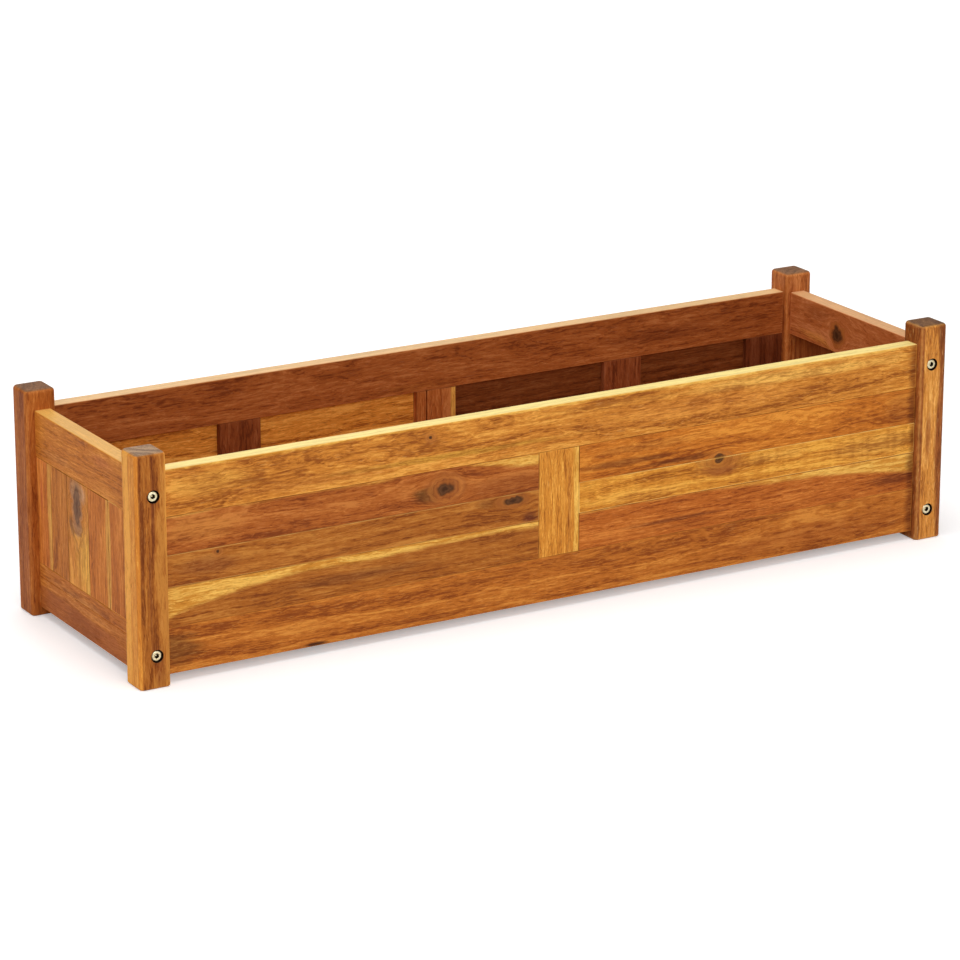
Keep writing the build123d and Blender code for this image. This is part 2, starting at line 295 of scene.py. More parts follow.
# Arrises of a squared timber: rubbed pale over a ragged width, and the seam where it meets its neighbour,
# which gets painted shade in the groove, and on a few pieces a painted highlight instead
def makeEdgeGroup():
    tree, bench, given = newGroup(
        "timberEdge",
        [("Vector", "Vector", (0, 0, 0)), ("Low", "Vector", (0, 0, 0)), ("High", "Vector", (1, 1, 1)),
         ("Width", "Float", 0.002), ("Seam Width", "Float", 0.0006)],
        [("Rubbed", "Float"), ("Seam", "Float")])
    toFaces = bench.vector("MINIMUM", bench.vector("SUBTRACT", given["Vector"], given["Low"]),
                           bench.vector("SUBTRACT", given["High"], given["Vector"]))
    x, y, z = bench.split(toFaces)
    nearPair = bench.math("MINIMUM", x, y)
    farPair = bench.math("MAXIMUM", x, y)
    toEdge = bench.math("MAXIMUM", nearPair, bench.math("MINIMUM", farPair, z))
    uneven = bench.noise(bench.scaled(given["Vector"], raggedScales["rubbed"]), detail=3.0)
    width = bench.math("MULTIPLY", given["Width"], bench.math("MULTIPLY_ADD", uneven, 1.6, 0.2))
    seamEnd = bench.math("MULTIPLY", given["Seam Width"], 1.5)
    seam = bench.step(toEdge, seamEnd, bench.math("MULTIPLY", given["Seam Width"], 0.6))
    broken = bench.noise(bench.scaled(given["Vector"], raggedScales["seam"]), detail=2.0)
    seam = bench.math("MULTIPLY", seam, bench.step(broken, 0.35, 0.6, 0.25, 1.0))
    endGroup(bench, {"Rubbed": bench.step(toEdge, width, 0.0), "Seam": seam})
    return tree


knotFlow = makeKnotGroup()
acaciaFigure = makeFigureGroup()
softPatch = makePatchGroup()
woodBand = makeBandGroup()
timberEdge = makeEdgeGroup()
print("shared effects built")


# Middle colours of the oiled wood. The light and dark figure of a board are shares of its middle colour.
woodTones = {
    "golden": (198, 128, 42),
    "tan": (208, 136, 50),
    "orange": (188, 110, 36),
    "reddish": (168, 90, 33),
    "brown": (166, 95, 32),
    "honey": (220, 138, 52),
}
figureShares = {"glint": (1.24, 1.5, 2.3), "light": (1.15, 1.3, 1.6), "dark": (0.74, 0.64, 0.55)}
bandColours = {
    "sapwood": ((206, 136, 46), (247, 198, 96)),
    "golden": ((196, 128, 50), (232, 172, 80)),
    "amber": ((220, 134, 48), (250, 176, 76)),
    "heart": ((112, 54, 24), (156, 82, 36)),
    "russet": ((158, 84, 36), (186, 104, 46)),
}
fleckTint = (142, 88, 52)
# dark: painted shade in the groove of a seam; light: a painted highlight along a seam's edge
seamShadeAndHighlight = {"dark": (98, 42, 12), "light": (250, 206, 120)}
knotColours = {
    "dark": {
        "eye": (46, 26, 14), "core": (92, 58, 34),
        "haloDark": (120, 60, 28), "haloLight": (190, 116, 50),
    },
    "brown": {
        "eye": (92, 56, 38), "core": (132, 92, 62),
        "haloDark": (150, 92, 52), "haloLight": (214, 164, 118),
    },
}
# colour of the painted shade in the bolts' counterbores
boreShadeColour = (38, 20, 10)
endGrainColours = {"posts": (132, 98, 70), "plain": (120, 70, 34)}


# Which way the grain runs and which way a board's width lies, for each kind of piece
grainWays = {
    "post": ((0, 0, 1), (1, 0, 0)),
    "longRail": ((1, 0, 0), (0, 0, 1)),
    "longBoard": ((1, 0, 0), (0, 0, 1)),
    "stile": ((0, 0, 1), (1, 0, 0)),
    "endRail": ((0, 1, 0), (0, 0, 1)),
    "stave": ((0, 0, 1), (0, 1, 0)),
    "cleat": ((1, 0, 0), (0, 0, 1)),
    "slat": ((0, 1, 0), (1, 0, 0)),
}


def pieceKind(name):
    if name.startswith("post_"):
        return "post"
    if name.endswith("_rail"):
        return "endRail" if "_end_" in name else "longRail"
    if "_board_" in name:
        return "longBoard"
    if "_stave_" in name:
        return "stave"
    if name.endswith("_stile") or name.endswith("_batten"):
        return "stile"
    return "cleat" if name.endswith("_cleat") else "slat"


# Looks of single pieces. Places on a piece are planter millimetres: along the grain, then across it.
# knots: along, across, core radius, halo radius, stretch along the grain, colours.
# patches: along, across, reach along, reach across, colour, strength.
# bands: the side that it grows from, its wood, softness, then its depth at even steps along the piece.
# the colour of the face that looks up: paler wood with a painted highlight of the overhead light. seam: tint
# and strength, where a dark tint is painted shade in the groove and a light one a painted highlight.
woodLooks = {
    "post_front_left": {
        "tone": "brown", "seed": 21.3, "pith": (20, 30), "streaks": 0.8,
        "bands": [("low", "amber", 1.0, (3.2, 2.8, 3, 2.6, 3.2)),
                  ("high", "amber", 2, (2, 1.2, 1.6, 2.4, 3))],
        "patches": [(190, -482, 70, 2.4, (136, 68, 32), 0.7), (90, -486, 90, 2.0, (130, 66, 32), 0.6),
                    (24, -478, 30, 6, (128, 58, 28), 0.5)],
        "endGrain": (172, 144, 116),
    },
    "post_front_right": {
        "tone": (212, 138, 58), "seed": 22.9, "pith": (28, 26), "streaks": 0.4,
        "bands": [("low", "heart", 0.8, (4.6, 5, 4.6, 4.8)), ("high", "heart", 2.5, (8, 10, 11, 9, 12))],
        "patches": [(120, 478, 40, 5, (160, 84, 44), 0.6)],
        "endGrain": (112, 84, 64),
    },
    "post_back_left": {"tone": "reddish", "seed": 23.4, "pith": (-30, 20)},
    "post_back_right": {
        "tone": (178, 100, 44), "seed": 24.8, "pith": (24, -28),
        "patches": [(215, 475, 40, 9, (176, 96, 48), 0.6)],
    },
    "front_top_rail": {
        "tone": (199, 124, 44), "seed": 1.3, "pith": (12, -60), "streaks": 0.5, "mottle": 0.35,
        "knots": [(-157, 215, 1.7, 8, 1.2, "dark")],
        "patches": [(-410, 208, 60, 16, (226, 164, 70), 0.55), (310, 217, 170, 8, (246, 190, 92), 0.8),
                    (-140, 192, 190, 4, (206, 158, 58), 0.6), (-300, 190, 130, 8, (186, 110, 42), 0.5),
                    # the patch at 464 along is painted shade where the rail meets the right post
                    (180, 200, 150, 14, (222, 144, 60), 0.6), (464, 198, 10, 60, (132, 66, 28), 0.7),
                    (60, 218, 140, 5, (236, 168, 72), 0.6)],
        # this band is paler wood along the top that also covers the top face: partly sapwood, partly a
        # painted highlight of the overhead light
        "bands": [("high", "sapwood", 2, (1.5, 3, 1.5, 2, 2, 4, 3, 2))],
        "paleTopAndHighlight": (255, 231, 146),
    },
    "front_bottom_rail": {
        "tone": (184, 105, 35), "seed": 2.1, "pith": (30, -40), "streaks": 0.5,
        "patches": [(-455, 36, 34, 22, (92, 52, 24), 0.65), (-295, 12, 16, 3, (66, 30, 18), 0.9),
                    (330, 28, 150, 18, (164, 84, 32), 0.5), (0, 50, 200, 7, (206, 128, 48), 0.45),
                    # the patch at 464 along is painted shade where the rail meets the right post
                    (464, 35, 11, 60, (120, 58, 26), 0.7)],
    },
    "front_left_board_1": {
        "tone": "reddish", "seed": 3.7, "pith": (20, -30),
        "knots": [(-139, 156, 6.5, 22, 1.4, "dark")],
        "patches": [(-430, 160, 60, 16, (200, 128, 56), 0.55), (-164, 153, 17, 8, (82, 56, 22), 0.75),
                    (-122, 158, 7, 10, (214, 132, 62), 0.6), (-60, 150, 60, 12, (142, 72, 28), 0.5)],
        "bands": [("high", "sapwood", 3, (0, 0, 0, 0, 1, 0, 6, 12))],
    },
    "front_left_board_2": {
        "tone": "brown", "seed": 4.9, "pith": (40, -30),
        "knots": [(-57, 130, 4.6, 11, 2.4, "dark"), (-406, 132, 1.5, 7, 1.2, "dark")],
        "patches": [(-37, 111, 12, 8, (104, 42, 32), 0.75), (-415, 120, 40, 12, (130, 66, 34), 0.5),
                    (-90, 131, 16, 5, (120, 66, 26), 0.6), (-300, 110, 120, 5, (196, 124, 50), 0.5)],
        "seam": ("light", 0.35),
    },
    "front_left_board_3": {
        "tone": "brown", "seed": 5.4, "pith": (-40, -20),
        "bands": [("high", "sapwood", 3.5, (34, 17, 10, 8, 7, 6, 5, 5))],
        "patches": [(-250, 78, 110, 7, (120, 62, 28), 0.6), (-60, 90, 40, 7, (188, 116, 46), 0.5)],
    },
    "front_centre_stile": {
        "tone": (207, 132, 46), "seed": 6.2, "pith": (80, 10), "streaks": 0.3, "mottle": 0.4,
        "bands": [("high", "sapwood", 1.0, (7, 6.5, 7, 7.5))],
        "patches": [(120, 13, 60, 2, (178, 104, 42), 0.5)],
    },
    "front_right_board_1": {
        "tone": (195, 112, 34), "seed": 7.7, "pith": (6, -22), "streaks": 0.75,
        "knots": [(204, 137.5, 3.4, 9, 2.2, "dark")],
        "patches": [(80, 150, 70, 5, (126, 66, 28), 0.65), (150, 142, 55, 3.4, (120, 62, 28), 0.65),
                    # the patch at 448 along is darker wood with painted shade from the right post; the one at
                    # 464 is painted shade beside the post
                    (448, 155, 30, 25, (150, 78, 32), 0.5), (464, 158, 11, 60, (112, 54, 24), 0.75),
                    (120, 165, 90, 7, (206, 134, 54), 0.5)],
    },
    "front_right_board_2": {
        "tone": (204, 130, 42), "seed": 8.8, "pith": (50, -20), "shimmer": 0.3,
        "knots": [(204, 135, 4.0, 24, 1.6, "dark")],
        "patches": [(420, 120, 80, 15, (244, 184, 84), 0.6), (110, 112, 80, 8, (232, 168, 72), 0.5),
                    (270, 128, 50, 7, (236, 176, 80), 0.5),
                    # the patch at 465 along is painted shade where the board meets the right post
                    (209, 125, 24, 9, (170, 90, 36), 0.75), (465, 120, 8, 60, (132, 70, 30), 0.7)],
        "seam": ("light", 0.7),
    },
    "front_right_board_3": {
        "tone": (181, 97, 33), "seed": 9.1, "pith": (35, -30),
        "bands": [("high", "sapwood", 3, (0, 0, 0, 1, 4, 8, 14, 21))],
        "patches": [(150, 76, 70, 3, (112, 52, 26), 0.7), (440, 76, 40, 8, (124, 60, 28), 0.6),
                    # the patch at 464 along is painted shade where the board meets the right post
                    (464, 80, 11, 60, (112, 52, 24), 0.7), (200, 68, 160, 4, (190, 112, 44), 0.4)],
    },
    "back_top_rail": {
        "tone": (160, 84, 36), "seed": 12.2, "pith": (15, 40), "streaks": 0.4, "mottle": 0.35,
        "paleTopAndHighlight": (240, 196, 138),
        "patches": [(-30, 184, 60, 6, (178, 104, 46), 0.5), (300, 200, 90, 12, (136, 66, 30), 0.5)],
    },
    "back_left_board_1": {"tone": "honey", "seed": 13.6, "pith": (20, 30), "mottle": 0.3},
    "back_right_board_1": {"tone": (122, 62, 26), "seed": 14.1, "pith": (30, 30), "mottle": 0.4},
    "back_right_board_2": {"tone": (128, 68, 28), "seed": 14.9, "pith": (30, 30), "mottle": 0.4},
    "back_right_board_3": {"tone": (140, 76, 30), "seed": 15.6, "pith": (30, 30), "mottle": 0.4},
    "back_left_mid_batten": {"tone": (134, 66, 30), "seed": 16.3, "pith": (25, 30)},
    "back_right_mid_batten": {"tone": (140, 70, 34), "seed": 16.9, "pith": (25, 30)},
    "back_right_end_batten": {"tone": (110, 52, 24), "seed": 17.5, "pith": (25, 30)},
    "back_centre_stile": {
        "tone": (172, 92, 40), "seed": 17.9, "pith": (30, 30),
        "bands": [("high", "golden", 1.5, (6, 7, 6))],
    },
    "left_end_top_rail": {
        "tone": (199, 116, 39), "seed": 31.2, "pith": (30, -40), "streaks": 0.45, "mottle": 0.45,
        "paleTopAndHighlight": (236, 180, 92),
        "patches": [(-50, 215, 30, 9, (206, 116, 62), 0.5), (60, 190, 50, 6, (222, 148, 70), 0.5)],
    },
    "left_end_bottom_rail": {
        "tone": (188, 106, 37), "seed": 32.6, "pith": (24, -38), "streaks": 0.5,
        "bands": [("low", "russet", 3, (14, 20, 22, 24, 26))],
        "patches": [(20, 48, 80, 5, (222, 148, 72), 0.6), (-20, 38, 90, 3, (214, 138, 66), 0.6)],
    },
    "left_end_stave_1": {
        "tone": (202, 111, 42), "seed": 33.1, "pith": (24, -30), "streaks": 0.4,
        "bands": [("low", "golden", 1.5, (7, 8, 9, 8))],
        "patches": [(140, 104, 30, 4, (206, 100, 60), 0.5)],
    },
    "left_end_stave_2": {
        "tone": (194, 114, 40), "seed": 33.9, "pith": (30, -30), "streaks": 0.4, "seam": ("dark", 0.9),
    },
    "left_end_stave_3": {
        "tone": (207, 127, 45), "seed": 34.7, "pith": (34, -26), "streaks": 0.4,
        "knots": [(150, 15, 8, 14, 2.7, "brown")],
        "patches": [(166, 12, 12, 11, (220, 176, 136), 0.7), (126, 20, 15, 8, (116, 74, 50), 0.7),
                    (98, 3, 42, 17, (255, 190, 80), 0.95)],
        "bands": [("low", "sapwood", 1.5, (10, 9, 6, 4))],
    },
    "left_end_stave_4": {
        "tone": (201, 114, 39), "seed": 35.5, "pith": (28, -30), "streaks": 0.45, "seam": ("dark", 0.9),
        "bands": [("low", "golden", 1.2, (5, 6, 5))],
    },
    "left_end_stave_5": {
        "tone": (195, 108, 37), "seed": 36.3, "pith": (22, -30), "streaks": 0.4,
        "bands": [("high", "golden", 1.2, (3, 4, 3))], "seam": ("light", 0.6),
    },
    "right_end_top_rail": {
        "tone": (184, 102, 50), "seed": 37.4, "pith": (20, 30), "streaks": 0.4,
        "knots": [(20, 199, 9, 18, 1.0, "dark")],
        "patches": [(55, 188, 45, 6, (226, 150, 74), 0.7), (60, 212, 30, 8, (152, 80, 40), 0.4)],
        "paleTopAndHighlight": (232, 178, 124),
    },
}
rightStaves = {
    "seed": 40.3,
    "tones": ((150, 82, 36), (142, 76, 34), (156, 88, 40), (146, 80, 36), (138, 74, 34)),
}
for number, tone in enumerate(rightStaves["tones"], 1):
    woodLooks["right_end_stave_" + str(number)] = {"tone": tone, "seed": rightStaves["seed"] + number}
kindLooks = {
    "post": {"tones": ("orange", "golden", "reddish", "orange"), "endGrain": "posts"},
    "longRail": {"tones": ("orange", "golden")},
    "longBoard": {"tones": ("orange", "brown", "golden", "reddish")},
    "stile": {"tones": ("orange", "reddish")},
    "endRail": {"tones": ("brown", "orange"), "grain": 0.7},
    "stave": {"tones": ("reddish", "brown", "golden", "brown", "orange"), "grain": 0.7},
    "cleat": {"tones": ("tan",)},
    "slat": {"tones": ("tan", "orange", "brown", "golden")},
}
seamedKinds = ("longBoard", "stave", "stile")
finish = {
    "roughness": 0.48, "poreRoughness": 0.64, "endRoughness": 0.2, "seamRoughness": 0.3,
    "specular": 0.1, "coat": 0.01, "coatRoughness": 0.35, "bump": 0.25, "bumpDepth": 0.0002,
}
# how far each layer covers the wood under it
covers = {"band": 0.9, "fleck": 0.36, "glint": 0.24, "paleTopAndHighlight": 0.92, "knotHalo": 0.6, "knotCore": 0.92,
          "endGrain": 0.85, "rubbed": 0.35}
darkShares = {"paleTopAndHighlight": 0.9, "endGrain": 0.74}      # the dark figure of these, as a share of their colour
# how squarely a face has to look up, or along the grain, for the paler top with its painted highlight, and
# for the end grain, to begin and be full
facingSteps = {"paleTopAndHighlight": (0.55, 0.85), "endGrain": (0.6, 0.85)}


# What a piece has where nothing is given for it. Its seed and its pith change by steps with its number.
plainLook = {
    "streaks": 0.6, "mottle": 0.5, "grain": 1.0, "shimmer": 0.1, "seam": ("dark", 0.7),
    "seed": 11.0, "seedStep": 0.83, "pith": (25, -35), "pithStep": 7, "pithTurns": 5,
}


# The look of one piece: what is given for it, over what its kind has by turns
def lookOf(name, number):
    kind = pieceKind(name)
    given = woodLooks.get(name, {})
    tones = kindLooks[kind]["tones"]
    tone = given.get("tone", tones[number % len(tones)])
    pithAcross, pithDeep = plainLook["pith"]
    pithShift = plainLook["pithStep"] * (number % plainLook["pithTurns"])
    return {
        "kind": kind,
        "tone": woodTones.get(tone, tone),
        "seed": given.get("seed", plainLook["seed"] + plainLook["seedStep"] * number),
        "pith": given.get("pith", (pithAcross + pithShift, pithDeep)),
        "streaks": given.get("streaks", plainLook["streaks"]),
        "mottle": given.get("mottle", plainLook["mottle"]),
        "grain": kindLooks[kind].get("grain", plainLook["grain"]),
        "shimmer": given.get("shimmer", plainLook["shimmer"]),
        "knots": given.get("knots", []),
        "patches": given.get("patches", []),
        "bands": given.get("bands", []),
        "paleTopAndHighlight": given.get("paleTopAndHighlight"),
        "seam": given.get("seam", plainLook["seam"]),
        "endGrain": given.get("endGrain", endGrainColours[kindLooks[kind].get("endGrain", "plain")]),
    }


def shadeOf(tone, share):
    return linear(*(min(c * s, 255) for c, s in zip(tone, figureShares[share])))


# The turn from a board's own axes (grain, width, thickness) to the planter's
def boardAxes(kind):
    along, across = (Vector(axis) for axis in grainWays[kind])
    return Matrix((along, across, along.cross(across))).transposed()


# Where the corner bolts are, in millimetres: distance of their axes from the middle, their heights,
# how far out the posts' faces and the heads lie, then radii of the counterbore and the socket,
# of the painted highlight in the socket and of the painted shade ring at the head's rim
boltPlaces = {"x": 480.5, "heights": (35, 204.5), "face": 150, "headTop": 148.4, "bore": 7.4, "socket": 3.1,
              "glint": (1.0, 0.6), "headRimShade": (5.2, 5.5)}
rubWidths = {"post": 4.0, "plain": 2.0}


# How far a place is from the nearest bolt's axis
def awayFromBolt(bench, place):
    x, y, z = bench.split(place)
    aside = bench.math("SUBTRACT", bench.math("ABSOLUTE", x), boltPlaces["x"] * mm)
    low, high = (bench.math("SUBTRACT", z, height * mm) for height in boltPlaces["heights"])
    drop = bench.math("MINIMUM", bench.math("ABSOLUTE", low), bench.math("ABSOLUTE", high))
    square = bench.math("ADD", bench.math("MULTIPLY", aside, aside), bench.math("MULTIPLY", drop, drop))
    return bench.math("SQRT", square), bench.math("ABSOLUTE", y)


# Painted shade on the wall of a bolt's counterbore
def paintedBoreShade(bench, place):
    away, outwards = awayFromBolt(bench, place)
    bore = boltPlaces["bore"] * mm
    inside = bench.step(away, bore + 0.5 * mm, bore)
    sunk = bench.step(outwards, (boltPlaces["face"] - 0.05) * mm, (boltPlaces["face"] - 0.4) * mm)
    return bench.math("MULTIPLY", inside, sunk)


def newMaterial(name):
    material = bpy.data.materials.new(name)
    material.use_nodes = True
    material.node_tree.nodes.clear()
    return material, NodeBench(material.node_tree)


# Gives a material its shader and joins it to the output
def endMaterial(bench, inputs):
    shader = bench.add("BsdfPrincipled", inputs)
    output = bench.add("OutputMaterial")
    bench.feed(output.inputs["Surface"], shader.outputs[0])


def acaciaMaterial(name, look):
    boxLow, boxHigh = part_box(name)
    middle = (boxLow + boxHigh) / 2
    axes = boardAxes(look["kind"])
    toBoard = axes.transposed()
    size = toBoard @ (boxHigh - boxLow)
    length, width = abs(size.x), abs(size.y)
    alongMiddle, acrossMiddle = (toBoard @ middle)[:2]

    material, bench = newMaterial("acacia_" + name)
    coordinates = bench.add("TexCoord")
    mapping = bench.add("Mapping", {"Vector": coordinates.outputs["Object"], "Location": middle,
                                    "Rotation": axes.to_euler()}, vector_type="TEXTURE")
    board = mapping.outputs[0]

    def onBoard(along, across):
        return Vector((along * mm - alongMiddle, across * mm - acrossMiddle, 0))

    # the height across the board of a band's edge, from depths at even steps along it
    def edgeAlong(depths):
        along = bench.split(board)[0]
        share = bench.add("MapRange", {"Value": along, "From Min": -length / 2, "From Max": length / 2})
        curve = bench.add("FloatCurve", {"Value": share.outputs[0]})
        points = curve.mapping.curves[0].points
        last = len(depths) - 1
        for number, depth in enumerate(depths):
            place = (number / last, min(depth * mm / width, 1.0))
            if number in (0, last):
                points[0 if number == 0 else -1].location = place
            else:
                points.new(*place)
        curve.mapping.update()
        return bench.math("MULTIPLY_ADD", curve.outputs[0], -width, width / 2)

    knots = []
    flowing = board
    for along, across, core, halo, stretch, kind in look["knots"]:
        knot = bench.group(knotFlow, {"Vector": flowing, "Middle": onBoard(along, across), "Core": core * mm,
                                      "Halo": halo * mm, "Stretch": stretch})
        flowing = knot["Vector"]
        knots.append((knot, knotColours[kind]))

    pithAcross, pithDeep = look["pith"]
    figure = bench.group(acaciaFigure, {
        "Vector": flowing, "Seed": look["seed"], "Pith": (0, pithAcross * mm, pithDeep * mm),
        "Streaks": look["streaks"], "Mottle": look["mottle"],
        "Grain": look["grain"], "Shimmer": look["shimmer"],
        "Light": shadeOf(look["tone"], "light"), "Mid": linear(*look["tone"]),
        "Dark": shadeOf(look["tone"], "dark")})
    colour = figure["Color"]
    figureStep = bench.step(figure["Tone"], 0.1, 0.9)

    for side, wood, softness, depths in look["bands"]:
        vector = flowing if side == "high" else bench.scaled(flowing, (1, -1, 1))
        band = bench.group(woodBand, {"Vector": vector, "Edge": edgeAlong(depths), "Softness": softness * mm})
        low, high = bandColours[wood]
        bandColour = bench.mix(figureStep, linear(*low), linear(*high))
        colour = bench.mix(bench.math("MULTIPLY", band["Mask"], covers["band"]), colour, bandColour)

    for along, across, reachAlong, reachAcross, tint, strength in look["patches"]:
        patch = bench.group(softPatch, {"Vector": flowing, "Middle": onBoard(along, across),
                                        "Reach": (reachAlong * mm, reachAcross * mm, 1)})
        shaded = bench.mix(figureStep, shadeOf(tint, "dark"), linear(*tint))
        colour = bench.mix(bench.math("MULTIPLY", patch["Mask"], strength), colour, shaded)

    flecks = bench.math("MULTIPLY", figure["Flecks"], covers["fleck"] * look["grain"])
    colour = bench.mix(flecks, colour, linear(*fleckTint), "MULTIPLY")
    glints = bench.math("MULTIPLY", figure["Glints"], covers["glint"] * look["grain"])
    colour = bench.mix(glints, colour, shadeOf(look["tone"], "glint"))

    normal = coordinates.outputs["Normal"]
    # the face that looks up is paler wood with a painted highlight of the overhead light
    if look["paleTopAndHighlight"]:
        up = bench.step(bench.split(normal)[2], *facingSteps["paleTopAndHighlight"])
        paleTopAndHighlightDark = linear(*(c * darkShares["paleTopAndHighlight"] for c in look["paleTopAndHighlight"]))
        paleTopAndHighlightColour = bench.mix(figureStep, paleTopAndHighlightDark, linear(*look["paleTopAndHighlight"]))
        colour = bench.mix(bench.math("MULTIPLY", up, covers["paleTopAndHighlight"]), colour, paleTopAndHighlightColour)

    for knot, tints in knots:
        haloColour = bench.mix(knot["Rings"], linear(*tints["haloDark"]), linear(*tints["haloLight"]))
        colour = bench.mix(bench.math("MULTIPLY", knot["Halo"], covers["knotHalo"]), colour, haloColour)
        core = bench.mix(knot["Eye"], linear(*tints["core"]), linear(*tints["eye"]))
        colour = bench.mix(bench.math("MULTIPLY", knot["Core"], covers["knotCore"]), colour, core)

    facing = bench.vector("DOT_PRODUCT", normal, grainWays[look["kind"]][0])
    endMask = bench.step(bench.math("ABSOLUTE", facing), *facingSteps["endGrain"])
    endDark = linear(*(c * darkShares["endGrain"] for c in look["endGrain"]))
    endColour = bench.mix(figureStep, endDark, linear(*look["endGrain"]))
    colour = bench.mix(bench.math("MULTIPLY", endMask, covers["endGrain"]), colour, endColour)

    rubWidth = rubWidths.get(look["kind"], rubWidths["plain"]) * mm
    edge = bench.group(timberEdge, {"Vector": coordinates.outputs["Object"], "Low": boxLow, "High": boxHigh,
                                    "Width": rubWidth})
    rubbed = bench.math("MULTIPLY", edge["Rubbed"], covers["rubbed"])
    colour = bench.mix(rubbed, colour, shadeOf(look["tone"], "light"))
    # the seam gets painted shade in its groove, and on a few pieces a painted highlight instead
    if look["kind"] in seamedKinds:
        tint, strength = look["seam"]
        colour = bench.mix(bench.math("MULTIPLY", edge["Seam"], strength), colour, linear(*seamShadeAndHighlight[tint]))
    # painted shade in the bolts' counterbores
    if look["kind"] == "post":
        colour = bench.mix(paintedBoreShade(bench, coordinates.outputs["Object"]), colour, linear(*boreShadeColour))

    roughness = bench.step(figure["Height"], -0.4, 0.7, finish["poreRoughness"], finish["roughness"])
    roughness = bench.math("MULTIPLY_ADD", endMask, finish["endRoughness"], roughness)
    roughness = bench.math("MULTIPLY_ADD", edge["Seam"], finish["seamRoughness"], roughness)
    bump = bench.add("Bump", {"Strength": finish["bump"], "Distance": finish["bumpDepth"],
                              "Height": figure["Height"]})
    endMaterial(bench, {
        "Base Color": colour, "Roughness": roughness, "Normal": bump.outputs[0],
        "Specular IOR Level": finish["specular"], "Coat Weight": finish["coat"],
        "Coat Roughness": finish["coatRoughness"]})
    return material


def setMaterial(node, material):
    for slot in node.material_slots:
        slot.material = material


fasteners = {"corner_bolts", "threaded_inserts", "rail_dowels", "cleat_screws", "slat_screws"}
timbers = sorted(name for name in nodes if name not in fasteners)
for number, name in enumerate(timbers):
    setMaterial(nodes[name], acaciaMaterial(name, lookOf(name, number)))
print("acacia on", len(timbers), "timbers")


# Metal of the fasteners

metalLooks = {
    "corner_bolts": {
        # socket: colour of the painted shade in the hex socket and round the head's rim
        "bright": (250, 240, 204), "dull": (228, 210, 162), "roughness": 0.34, "socket": (58, 46, 30),
    },
    "threaded_inserts": {"bright": (226, 190, 110), "dull": (168, 128, 64), "roughness": 0.35},
    "cleat_screws": {"bright": (214, 206, 176), "dull": (160, 150, 116), "roughness": 0.34},
    "slat_screws": {"bright": (214, 206, 176), "dull": (160, 150, 116), "roughness": 0.34},
}
metalScales = {"cloud": (300, 300, 300), "scratch": (900, 900, 6000)}      # cells per metre
metalBump = {"Strength": 0.15, "Distance": 0.0001}


def metalMaterial(name, look):
    material, bench = newMaterial("metal_" + name)
    place = bench.add("TexCoord").outputs["Object"]
    cloud = bench.noise(bench.scaled(place, metalScales["cloud"]), detail=3.0)
    scratch = bench.noise(bench.scaled(place, metalScales["scratch"]), detail=2.0)
    colour = bench.mix(bench.step(cloud, 0.35, 0.65), linear(*look["dull"]), linear(*look["bright"]))
    # painted shade in the hex socket with a painted highlight at its middle, and a painted shade ring round
    # the head's rim
    if "socket" in look:
        away, outwards = awayFromBolt(bench, place)
        inside = bench.step(away, boltPlaces["socket"] * mm, (boltPlaces["socket"] - 0.2) * mm)
        sunk = bench.step(outwards, (boltPlaces["headTop"] - 0.05) * mm, (boltPlaces["headTop"] - 0.3) * mm)
        glint = bench.step(away, *(radius * mm for radius in boltPlaces["glint"]))
        socket = bench.math("MULTIPLY", inside, sunk)
        dark = bench.math("MULTIPLY", socket, bench.math("SUBTRACT", 1.0, glint))
        headRimShade = bench.step(away, *(radius * mm for radius in boltPlaces["headRimShade"]))
        dark = bench.math("MAXIMUM", dark, bench.math("MULTIPLY", headRimShade, 0.7))
        colour = bench.mix(dark, colour, linear(*look["socket"]))
    roughness = bench.step(scratch, 0.3, 0.7, look["roughness"] - 0.06, look["roughness"] + 0.12)
    bump = bench.add("Bump", {**metalBump, "Height": scratch})
    endMaterial(bench, {"Base Color": colour, "Metallic": 1.0, "Roughness": roughness,
                        "Normal": bump.outputs[0]})
    return material


for name, look in metalLooks.items():
    setMaterial(nodes[name], metalMaterial(name, look))


beechLook = {
    "light": (232, 202, 160), "mid": (214, 178, 132), "dark": (186, 146, 100),
    "seed": 40.0, "streaks": 0.4, "roughness": 0.6, "bump": 0.2, "bumpDepth": 0.0002,
}


def dowelMaterial():
    material, bench = newMaterial("beech_dowels")
    figure = bench.group(acaciaFigure, {
        "Vector": bench.add("TexCoord").outputs["Object"],
        "Seed": beechLook["seed"], "Streaks": beechLook["streaks"],
        "Light": linear(*beechLook["light"]), "Mid": linear(*beechLook["mid"]),
        "Dark": linear(*beechLook["dark"])})
    bump = bench.add("Bump", {"Strength": beechLook["bump"], "Distance": beechLook["bumpDepth"],
                              "Height": figure["Height"]})
    endMaterial(bench, {"Base Color": figure["Color"], "Roughness": beechLook["roughness"],
                        "Normal": bump.outputs[0]})
    return material


setMaterial(nodes["rail_dowels"], dowelMaterial())
print("fasteners finished")


# Studio

# lift: how much the floor is brightened where it is seen, near the planter and far off.
# liftFrom: the distances between which it changes, in metres.
floorLook = {
    "reach": 14.0, "colour": (246, 246, 246), "roughness": 0.8, "specular": 0.1,
    "lift": (0.3, 0.62), "liftFrom": (1.0, 4.0),
}


# 1 for what the camera sees itself, and 0 for light that falls on things
def seenDirectly(bench):
    return bench.add("LightPath").outputs["Is Camera Ray"]


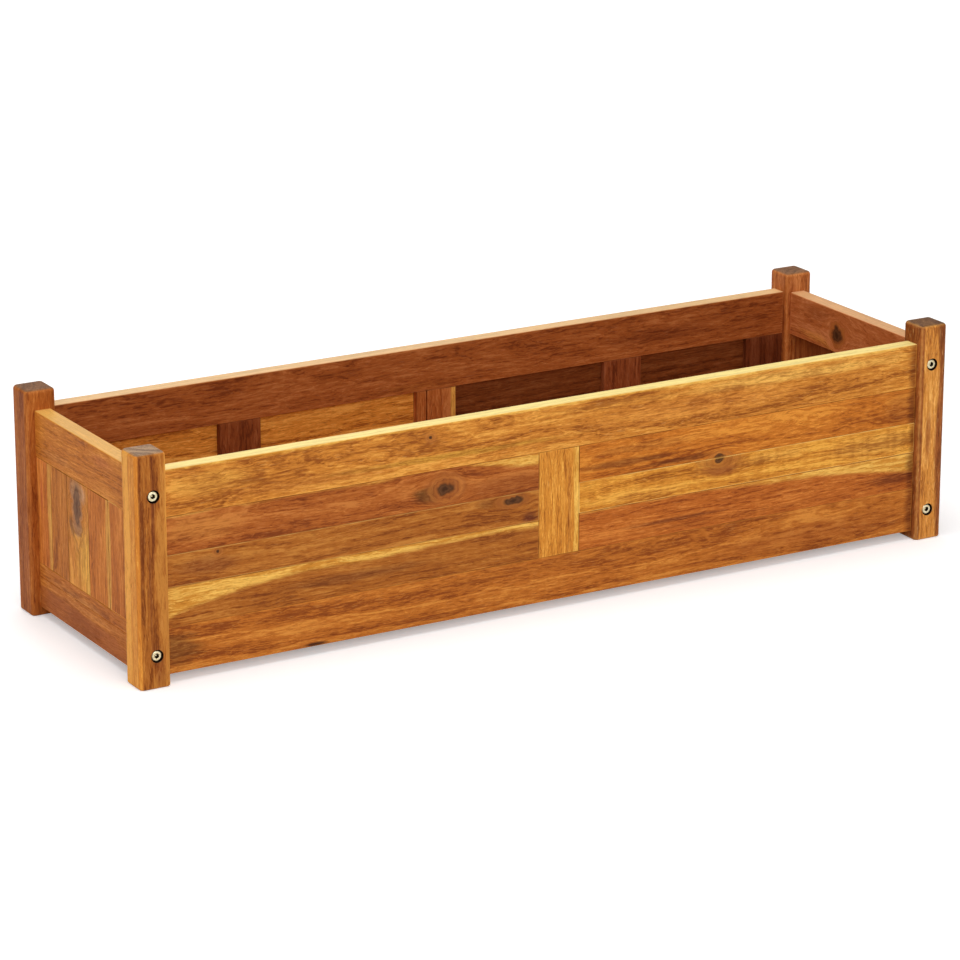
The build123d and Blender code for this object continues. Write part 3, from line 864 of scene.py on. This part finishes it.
def makeFloor():
    mesh = bpy.data.meshes.new("floor")
    shape = bmesh.new()
    bmesh.ops.create_grid(shape, x_segments=1, y_segments=1, size=floorLook["reach"])
    shape.to_mesh(mesh)
    shape.free()
    floor = bpy.data.objects.new("floor", mesh)
    bpy.context.scene.collection.objects.link(floor)
    material = bpy.data.materials.new("paleFloor")
    material.use_nodes = True
    bench = NodeBench(material.node_tree)
    shader = material.node_tree.nodes["Principled BSDF"]
    shader.inputs["Base Color"].default_value = linear(*floorLook["colour"])
    shader.inputs["Roughness"].default_value = floorLook["roughness"]
    shader.inputs["Specular IOR Level"].default_value = floorLook["specular"]
    shader.inputs["Emission Color"].default_value = (1, 1, 1, 1)
    away = bench.vector("LENGTH", bench.add("TexCoord").outputs["Object"])
    lift = bench.step(away, *floorLook["liftFrom"], *floorLook["lift"])
    bench.feed(shader.inputs["Emission Strength"], bench.math("MULTIPLY", seenDirectly(bench), lift))
    mesh.materials.append(material)


# name: place, point that it faces, width, height, watts
lampLooks = {
    "overheadLamp": ((-0.3, -0.2, 2.6), (0, 0, 0.1), 2.4, 1.6, 32),
    "frontLamp": ((-0.6, -3.0, 1.5), (0, 0, 0.12), 2.4, 1.6, 38.5),
    "leftLamp": ((-3.2, -0.6, 1.4), (0, 0, 0.12), 1.6, 1.6, 9.5),
    "backLamp": ((0.9, 3.0, 1.8), (0, 0, 0.12), 2.0, 1.4, 22),
}


def makeLamps():
    for name, (place, target, width, height, watts) in lampLooks.items():
        light = bpy.data.lights.new(name, "AREA")
        light.shape = "RECTANGLE"
        light.size = width
        light.size_y = height
        light.energy = watts
        lamp = bpy.data.objects.new(name, light)
        lamp.location = place
        lamp.rotation_euler = (Vector(target) - Vector(place)).to_track_quat("-Z", "Y").to_euler()
        bpy.context.scene.collection.objects.link(lamp)


worldLight = 0.42      # what the room adds to the lamps


def makeWorld():
    world = bpy.data.worlds.new("paleRoom")
    bpy.context.scene.world = world
    world.use_nodes = True
    background = world.node_tree.nodes["Background"]
    background.inputs["Color"].default_value = (1, 1, 1, 1)
    bench = NodeBench(world.node_tree)
    strength = bench.math("MULTIPLY_ADD", seenDirectly(bench), 1.0 - worldLight, worldLight)
    bench.feed(background.inputs["Strength"], strength)


cameraLook = {
    "azimuth": -30.23,      # degrees, from the front left
    "elevation": 17.52,
    "distance": 4.448,      # metres from the planter's middle
    "aside": -0.013,        # metres that the camera is moved right
    "raised": -0.0189,      # and up
    "lens": 152.58,
    "sensor": 36,
}


def makeCamera():
    azimuth = math.radians(cameraLook["azimuth"])
    elevation = math.radians(cameraLook["elevation"])
    back = Vector((math.sin(azimuth) * math.cos(elevation), -math.cos(azimuth) * math.cos(elevation),
                   math.sin(elevation)))
    right = Vector((math.cos(azimuth), math.sin(azimuth), 0))
    up = back.cross(right)
    camera = bpy.data.objects.new("camera", bpy.data.cameras.new("camera"))
    camera.data.lens = cameraLook["lens"]
    camera.data.sensor_width = cameraLook["sensor"]
    low, high = cadBox
    middle = (Vector(low) + Vector(high)) / 2
    camera.location = (middle + back * cameraLook["distance"] + right * cameraLook["aside"]
                       + up * cameraLook["raised"])
    camera.rotation_euler = Matrix((right, up, back)).transposed().to_euler()
    bpy.context.scene.collection.objects.link(camera)
    bpy.context.scene.camera = camera


makeFloor()
makeLamps()
makeWorld()
makeCamera()
bpy.context.scene.view_settings.view_transform = "Standard"
print("studio ready")
